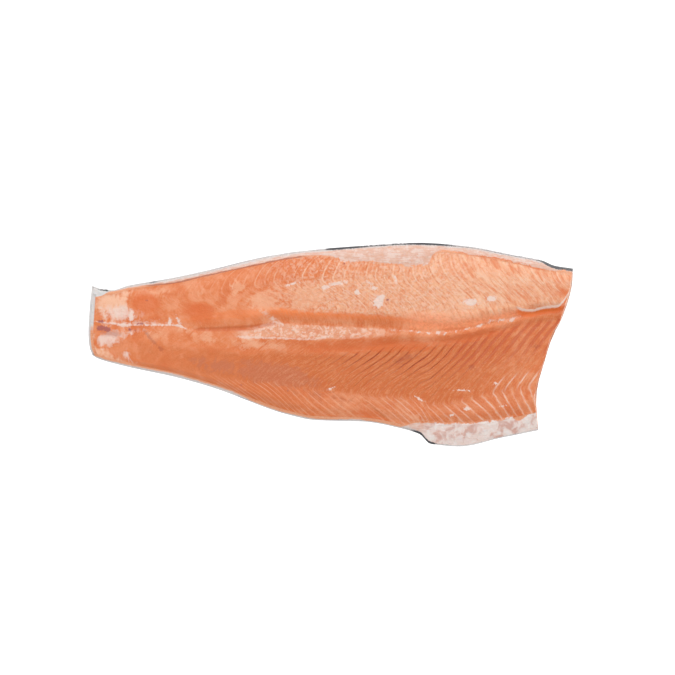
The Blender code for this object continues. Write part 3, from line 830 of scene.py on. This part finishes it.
length = SHOULDER_CUT[-1][1] - TAIL_CUT[-1][1]
wander = WANDER * ripple(x, y, WANDER_LENGTH, layer=5.0, octaves=2)
tail_fade, carried, start_across = ease(share / TAIL_FADE), 0, across_at(x, y)
for _ in range(PASSES):
    carried = (zigzag(x + carried, start_across) + wander) * tail_fade
share = share + carried / length * ease((1 - share) / SHOULDER_FADE)
x, y = settle(share, flesh, flesh_stations, row)
carried = (zigzag(x, across_at(x, y)) + wander) * tail_fade
seam = np.interp(share - carried / length, starts, numbers)

across = across_at(x, y)
places, _ = guide_lines(x)
foot, ridge, groove = places[4], places[5], places[6]
apex = smooth(APEX, x)
edge_distance = np.minimum(y - edges(flesh, x)[0], edges(flesh, x)[1] - y)
upper = ease((foot + 1 - y) / 6) * ease((across + apex + 0.04) / 0.16)
lower = ease((-across - apex + 0.05) / 0.1)
loin = ease((across - 0.05) / 0.12)
seat = ease((groove + 1 - y) / 2.5) * ease((y - ridge + 3) / 4) * ease((x + 95) / 30) * ease((74 - x) / 62)
near_seam = np.abs(seam - np.round(seam)) * PITCH
in_ribs = upper * smooth(RIBS, x)
in_flank = lower * smooth(FLANK, x)
in_loin = loin * smooth(LOIN, x)
in_loin *= 1 - 0.5 * ease((x - 90) / 40) * ease((across - 0.55) / 0.2)
in_loin *= ease((across - smooth(LOIN_START, x)) / 0.16 + 0.5)
mid = y - smooth(MIDLINE, x)
lip = y - smooth(LIP, np.maximum(x, LIP[0][0]))
lip_on = ease((x - 168) / 5)
crease = smooth(CREASE, x)

more_lines = np.minimum(seam - FLANK_CHANGES[0], 0) + np.maximum(seam - FLANK_CHANGES[1], 0)
flank_seam = seam + FLANK_LINES * more_lines
near_flank_seam = np.abs(flank_seam - np.round(flank_seam)) * PITCH

# The grooves at the seams, and how the ribs' flakes lean on one another.
deep_ribs = in_ribs * smooth(RIB_DEPTH, x)
relief = -0.45 * deep_ribs * ridge_of(near_seam, width=0.8)
relief -= 0.22 * in_flank * ridge_of(near_flank_seam, width=1.0)
relief -= 0.12 * in_loin * ridge_of(near_seam, width=0.9)
relief += 0.3 * deep_ribs * (seam - np.floor(seam) - 0.5)

# The grain of the backbone's seat, the pebbled loin and a slow swell all over.
relief += 0.28 * seat * ripple(x, y, length=2.6, stretch=1.6, layer=1.0)
relief += 0.16 * loin * ripple(x, y, length=2.4, stretch=1.2, layer=2.0)
relief += 0.45 * ripple(x, y, length=34, stretch=1.5, layer=3.0, octaves=2) - 0.5

# The crease and the white tendon on the midline, and the lip with its fold near the shoulder.
relief -= 0.7 * crease * ridge_of(mid, width=1.4)
relief += 0.25 * ease(smooth(MIDLINE_WHITE, x) + 0.2) * ridge_of(mid, width=1.2)
relief += lip_on * (1.0 * ridge_of(lip, width=1.5) - 0.9 * ridge_of(lip + 4.2, width=2.4))
relief *= ease(edge_distance / 2.5)

floor = underside(flesh, x, y)
top_height = max(height for _, height in LOIN_HEIGHT)
surface = np.minimum(np.maximum(cut_face(x, y) + relief, floor + THINNEST), top_height)
z = between(floor, surface, height)
knife = 0.5 * ripple(y, z, length=9, layer=8.0) - 0.45
x = lean_back(share, x, z) + knife * ease((share - 0.985) / 0.015)

strip = ease((smooth(STRIP, x) - across) / 0.06 + 0.5) * (across > -0.01)
top_band = ease((across - 0.55) / 0.16) * smooth(TOP_BAND, x)
# The loin is paler towards the front: partly its own tone, partly painted light where its top faces the lamp.
pale = loin * smooth(LOIN_PALE, x) * (1 - top_band)
# Paler also on the seat, and painted paler on the lower flank, as painted light where it rises to face the
# lamp.
pale = pale * (1 - strip) + 0.9 * seat + 0.22 * lower * ease((x + 60) / 80) - 0.35 * top_band * loin
pale = np.maximum(pale, 0.275 * ease((foot + 2 - y) / 4) * ease((x - 195) / 20))
# Painted light on the lower flank, which rises to face the lamp; the rest of the belly is duller, partly as
# painted shade.
lit_flank = between(0.75, 0.3, ease((-10 - x) / 50)) * lower
dull = smooth(BELLY_DULL, x) * ease((foot + 2 - y) / 9) * (1 - lit_flank)
# Where painted shade deepens the rib seams' grooves, and where broad painted shade lies on the front ribs.
dark_ribs = in_ribs * smooth(DARK_RIBS, x)
dark_ribs *= 1 - 0.85 * ease((-across - 0.3) / 0.22)
broad_rib_shade = ease((x - 96) / 30) * ease((foot + 5 - y) / 6) * ease((across + 0.42) / 0.2)
# Painted light on the slope beside the midline and under the ridge, which face away from the back lamp: it
# makes up for their shade.
slope = ease((across - 0.01) / 0.03) * ease((0.25 - across) / 0.1) * ease((x - 50) / 35)
below = ease((groove + 0.5 - y) / 1.5) * ease((y - foot + 3) / 5) * ease((x - 60) / 35)
slope = (slope + 0.4 * below) * ease((190 - x) / 15)
back_ragged = between(0.15, 1, ease((x + 5) / 15) * ease((110 - x) / 15) * (across > 0))
belly_ragged = 0.5 * ease((x - 75) / 10) * (across < 0)
stored = {
    "hair": between(0.25, 1, ease((x + 100) / 80)), "broad_rib_shade": broad_rib_shade, "slope": slope,
    "bright": ease((x - 140) / 20) * ease((-across - 0.46) / 0.1), "seam": seam, "flank_seam": flank_seam,
    "ribs": in_ribs, "dark_ribs": dark_ribs, "flank": in_flank, "loin": in_loin,
    "frost_and_sheen": loin * (1 - strip) * ease((x + 90) / 90), "seat": seat, "pale": pale, "dull": dull,
    "into_fat": into_fat(x, y), "mid": mid, "mid_white": smooth(MIDLINE_WHITE, x), "crease": crease,
    "lip": lip, "lip_on": lip_on, "ridge_line": y - smooth(RIDGE_LINE, x),
    "ridge_on": ease((x + 90) / 8) * ease((4 - x) / 10), "front": loin * ease((x - 80) / 70),
    "strip": strip * loin * between(0.3, 1, ease((x + 90) / 60)), "ragged": back_ragged + belly_ragged,
}
for name, values in stored.items():
    give(mesh, name, values)
give_fat_numbers(mesh, x, y)
give_faces(mesh, "cut", share > AT_CUT)

DEEP, PEACH, SHEEN_FLECKS, RUST = (228, 134, 87), (244, 184, 148), (247, 206, 184), (212, 104, 56)
DULL, MAUVE, TENDON, BLOOD = (210, 115, 66), (203, 118, 82), (241, 214, 202), (168, 98, 96)
CREAM = (250, 212, 184)

material, shader, start, here = new_material(
    "salmon_flesh", Specular_IOR_Level=0.45, Subsurface_Weight=0.12, Subsurface_Radius=(1.0, 0.35, 0.2),
    Subsurface_Scale=0.002,
)

# An oval's distances are true up to this many times its size.
OVAL_REACH = 8


def blot(here, x, y, length, width, turn):
    """How many millimetres a point lies inside an oval, seen from above; negative outside it."""
    sockets = {
        "Vector": here, "Location": (x, y, 0), "Rotation": (0, 0, np.radians(turn)),
        "Scale": (OVAL_REACH * length, OVAL_REACH * width, 1e6),
    }
    shares = here.add("ShaderNodeMapping", {"vector_type": "TEXTURE"}, sockets)
    nearness = here.add("ShaderNodeTexGradient", {"gradient_type": "SPHERICAL"}, {"Vector": shares}, out=1)
    smaller = min(length, width)
    return here.math("MULTIPLY_ADD", nearness, OVAL_REACH * smaller, (1 - OVAL_REACH) * smaller)


def blots(here, ovals):
    """How many millimetres a point lies inside the nearest of several ovals."""
    inside = blot(here, *ovals[0])
    for oval in ovals[1:]:
        inside = inside.math("MAXIMUM", inside, blot(here, *oval))
    return inside


seam, ribs, dark_ribs, flank, loin = (read(start, n) for n in ("seam", "ribs", "dark_ribs", "flank", "loin"))
frost_and_sheen, seat, pale, dull, cut = (read(start, n) for n in ("frost_and_sheen", "seat", "pale", "dull", "cut"))
mid, mid_white, crease = (read(start, n) for n in ("mid", "mid_white", "crease"))
lip, lip_on, ridge_line, ridge_on = (read(start, n) for n in ("lip", "lip_on", "ridge_line", "ridge_on"))
strip, front, ragged, broad_rib_shade = (read(start, n) for n in ("strip", "front", "ragged", "broad_rib_shade"))
hair, bright, flank_number = (read(start, n) for n in ("hair", "bright", "flank_seam"))

place_of = start.add("ShaderNodeSeparateXYZ", None, {"Vector": here}, out="Y")
along_seams = start.add("ShaderNodeCombineXYZ", None, {"X": seam * PITCH, "Y": place_of * 0.28})
cloud, patch = here.noise(0.022, 3.0, 0.5, 0.8), here.noise(0.11, 5.0, 0.62, 1.2)
mottle = here.noise(0.05, 3.0, 0.5, 1.0)
grain, crumb = here.noise(0.75, 4.0, 0.65), here.noise(0.36, 3.0, 0.6, 0.5)
fibre, streak = along_seams.noise(0.55, 3.0, 0.65, 0.3), along_seams.noise(0.22, 3.0, 0.6, 0.8)
distance = (seam + patch * 0.07 + grain * 0.03).off_whole() * PITCH
flank_distance = (flank_number + patch * 0.1).off_whole() * PITCH
past_seam = seam.math("FRACT", seam)

# The muscle's tones, paler on the loin partly as painted light, with the strip beside the midline and the
# pebbled loin, whose pale flecks are painted sheen.
paleness = pale + cloud * 0.2 + patch * 0.34 + streak * 0.22 + grain * 0.16
colour = paleness.step(-0.1, 1.05).mix(DEEP, PEACH)
rusty = (-0.12 - cloud * 0.3 - patch - streak * 0.7).step(0.0, 0.7)
colour = (rusty * (0.3 - frost_and_sheen * 0.1)).mix(colour, RUST)
colour = (mottle.step(0.0, 0.5) * (1 - frost_and_sheen * 0.6) * 0.45).mix(colour, (243, 172, 134))
colour = (mottle.step(0.0, -0.5) * (1 - frost_and_sheen * 0.6) * 0.45).mix(colour, (216, 112, 66))
colour = (strip * 0.85).mix(colour, (255, 146, 88))
colour = (strip * (fibre + grain * 0.6).step(0.0, 0.5) * 0.4).mix(colour, (214, 100, 54))
# The pebbled loin: pale flecks of painted sheen, and darker flecks between them.
pebbles = frost_and_sheen * (1 - front * 0.55)
colour = (pebbles * (crumb * 0.9 + patch * 0.35 + 0.1).step(0.0, 0.4) * 0.5).mix(colour, SHEEN_FLECKS)
pits = pebbles * (-0.1 - crumb * 0.8 - fibre * 0.5).step(0.0, 0.35)
colour = (pits * 0.42).mix(colour, (226, 132, 86))
# The duller belly, partly its own tone and partly painted shade in its trough, with its mauve patches, the
# hair-fine lines along the seams and the backbone's seat.
colour = (dull + patch * 0.35 + cloud * 0.2).step(0.0, 1.1).mix(colour, DULL)
mauve = (blots(here, MAUVE_PATCHES) + patch * 7 + streak * 3).step(-2, 4)
colour = (mauve * 0.9).mix(colour, MAUVE)
colour = (hair * (fibre + grain * 0.5).step(0.0, 0.5) * 0.22).mix(colour, (250, 190, 148))
colour = (hair * (0 - fibre - grain * 0.5).step(0.0, 0.5) * 0.22).mix(colour, (196, 92, 52))
colour = (seat * 0.6).mix(colour, (231, 160, 128))
crumbs = (crumb + grain * 0.6 + patch * 1.6 + 0.1).step(-0.3, 0.5)
colour = (seat * crumbs * 0.75).mix(colour, (249, 212, 193))

# Painted light on the slope beside the midline, which makes up for its shade, and the lines at the seams:
# dark and light ribs, partly painted shade and light, flank, shoulder and loin.
slope_light_colour = front.mix((268, 170, 124), (268, 198, 156))
colour = (read(start, "slope") * (crumb.step(-0.3, 0.4) * 0.4 + 0.4)).mix(colour, slope_light_colour)
breaks = streak.step(-0.35, 0.3)
# Painted light on the side of each rib flake that leans towards the lamp.
lit_flake_side = dark_ribs * past_seam.step(0.15, 0.7) * past_seam.step(1.0, 0.75)
colour = (lit_flake_side * 0.3).mix(colour, (228, 146, 102))
# The rib seams' dark lines: their red-brown tissue, deepened with painted shade in the grooves.
colour = (dark_ribs * distance.step(1.3, 0.1) * (breaks * 0.4 + 0.5)).mix(colour, (160, 70, 42))
# Broad painted shade on the front ribs.
colour = (broad_rib_shade * distance.step(3.4, 0.8) * 0.6).mix(colour, (196, 84, 48))
line_colour = read(start, "paler").mix((241, 178, 142), (244, 204, 186))
colour = (ribs * (1 - dark_ribs) * distance.step(1.6, 0.2) * 0.3).mix(colour, (236, 158, 116))
colour = (ribs * bright * distance.step(1.2, 0.2) * (breaks * 0.5 + 0.9)).mix(colour, line_colour)
colour = (flank * flank_distance.step(1.2, 3.0) * 0.4).mix(colour, (216, 116, 70))
colour = (flank * flank_distance.step(1.3, 0.3) * (breaks * 0.45 + 0.27)).mix(colour, line_colour)
colour = (front * streak.step(0.05, 0.45) * 0.6).mix(colour, (226, 124, 76))
colour = (front * streak.step(-0.05, -0.4) * 0.5).mix(colour, CREAM)
colour = (loin * distance.step(1.0, 0.2) * (breaks * 0.45 + 0.05) * (frost_and_sheen * 0.4 + 0.6)).mix(colour, CREAM)
beside_seam = (distance - 1.7).absolute().step(1.0, 0.2)
colour = (loin * beside_seam * breaks * 0.22).mix(colour, RUST)

# The marks that lie where the photograph shows them.
patches = (blots(here, PALE_PATCHES) + patch * 6 + fibre * 3).step(-2, 4)
colour = (patches * 0.5).mix(colour, (245, 188, 154))
oranges = (blots(here, ORANGE_PATCHES) + patch * 5 + crumb).step(-2, 3)
colour = (oranges * 0.65).mix(colour, (224, 114, 64))
peaches = (blots(here, PEACH_PATCHES) + patch * 7 + streak * 4 + crumb * 1.5).step(-4.0, 5.5)
colour = (peaches * 0.85).mix(colour, (247, 198, 168))
tendons = (blots(here, TENDONS) + patch * 5 + streak * 2 + crumb * 1.5).step(-2.4, 4.4)
colour = (tendons * 0.85).mix(colour, TENDON)
spots = (blots(here, WHITE_SPOTS) + grain * 1.2 + crumb * 1.2).step(-0.5, 0.6)
colour = (spots * 0.95).mix(colour, TENDON)
off_mid = (mid + crumb * hair * 1.4).absolute()
# Painted shade in the crease on the midline: a darker orange.
crease_shade = (crease * 2.2 - off_mid).step(-1.2, 0.8) * crease.step(0.05, 0.5)
colour = (crease_shade * 0.55).mix(colour, (200, 98, 54))
white_line = mid_white * 1.3 - off_mid + (grain * 1.4 + crumb * 1.2) * hair + patch * 2.2 - 0.25
white_line = white_line.step(-0.5, 0.6) * (1 - read(start, "paler") * distance.step(1.4, 3.2) * 0.85)
colour = (white_line * mid_white.step(-0.3, 0.3) * 0.85).mix(colour, TENDON)
off_ridge = (ridge_line + crumb * 1.4).absolute()
colour = ((off_ridge - patch * 1.2).step(1.5, 0.2) * ridge_on * 0.8).mix(colour, (244, 208, 192))
fold = (lip + 3.6).absolute().step(3.4, 1.0) * lip_on
colour = (fold * 0.8).mix(colour, (242, 124, 64))
off_lip = (lip + crumb * 0.6).absolute()
colour = (off_lip.step(1.7, 0.6) * lip_on * 0.9).mix(colour, (248, 220, 204))
stains = (blots(here, STAINS) + patch * 3 + crumb).step(-1.6, 1.6)
colour = (stains * 0.5).mix(colour, (176, 92, 66))
blood = (blots(here, BLOOD_SPOTS) + grain * 1.4 + crumb * 0.6).step(-0.4, 0.4)
colour = (blood * 0.85).mix(colour, BLOOD)
beyond = read(start, "into_fat") + (patch * 3 + crumb * 1.6) * ragged
colour = meet(start, beyond, colour, fat_colour(start, here))

# The shoulder cut, which shows the muscle's rings.
RING_STEP = 6.5
ring_sockets = {"Vector": here, "Location": (0, -45, -19), "Scale": (0, 1, 1.6)}
ring_place = start.add("ShaderNodeMapping", None, ring_sockets)
rings = ring_place.add("ShaderNodeVectorMath", {"operation": "LENGTH"}, {0: ring_place}, out=1)
ring_line = (rings / RING_STEP + patch * 0.2).off_whole().step(0.1, 0.02)
cut_colour = (paleness + 0.1).step(-0.4, 1.0).mix((236, 146, 100), PEACH)
cut_colour = (ring_line * 0.6).mix(cut_colour, (248, 214, 196))
colour = cut.mix(colour, cut_colour)

height = crumb * (pebbles + seat + 0.25) + grain * 0.4 + fibre * hair * 0.5
connect(
    shader, Base_Color=colour, Roughness=0.4 + frost_and_sheen * 0.12 - patch * 0.14,
    Normal=bump(start, height, 0.4, 0.8),
)
place(mesh, "flesh_muscle", (x, y, z), material, "flesh", corner=45)
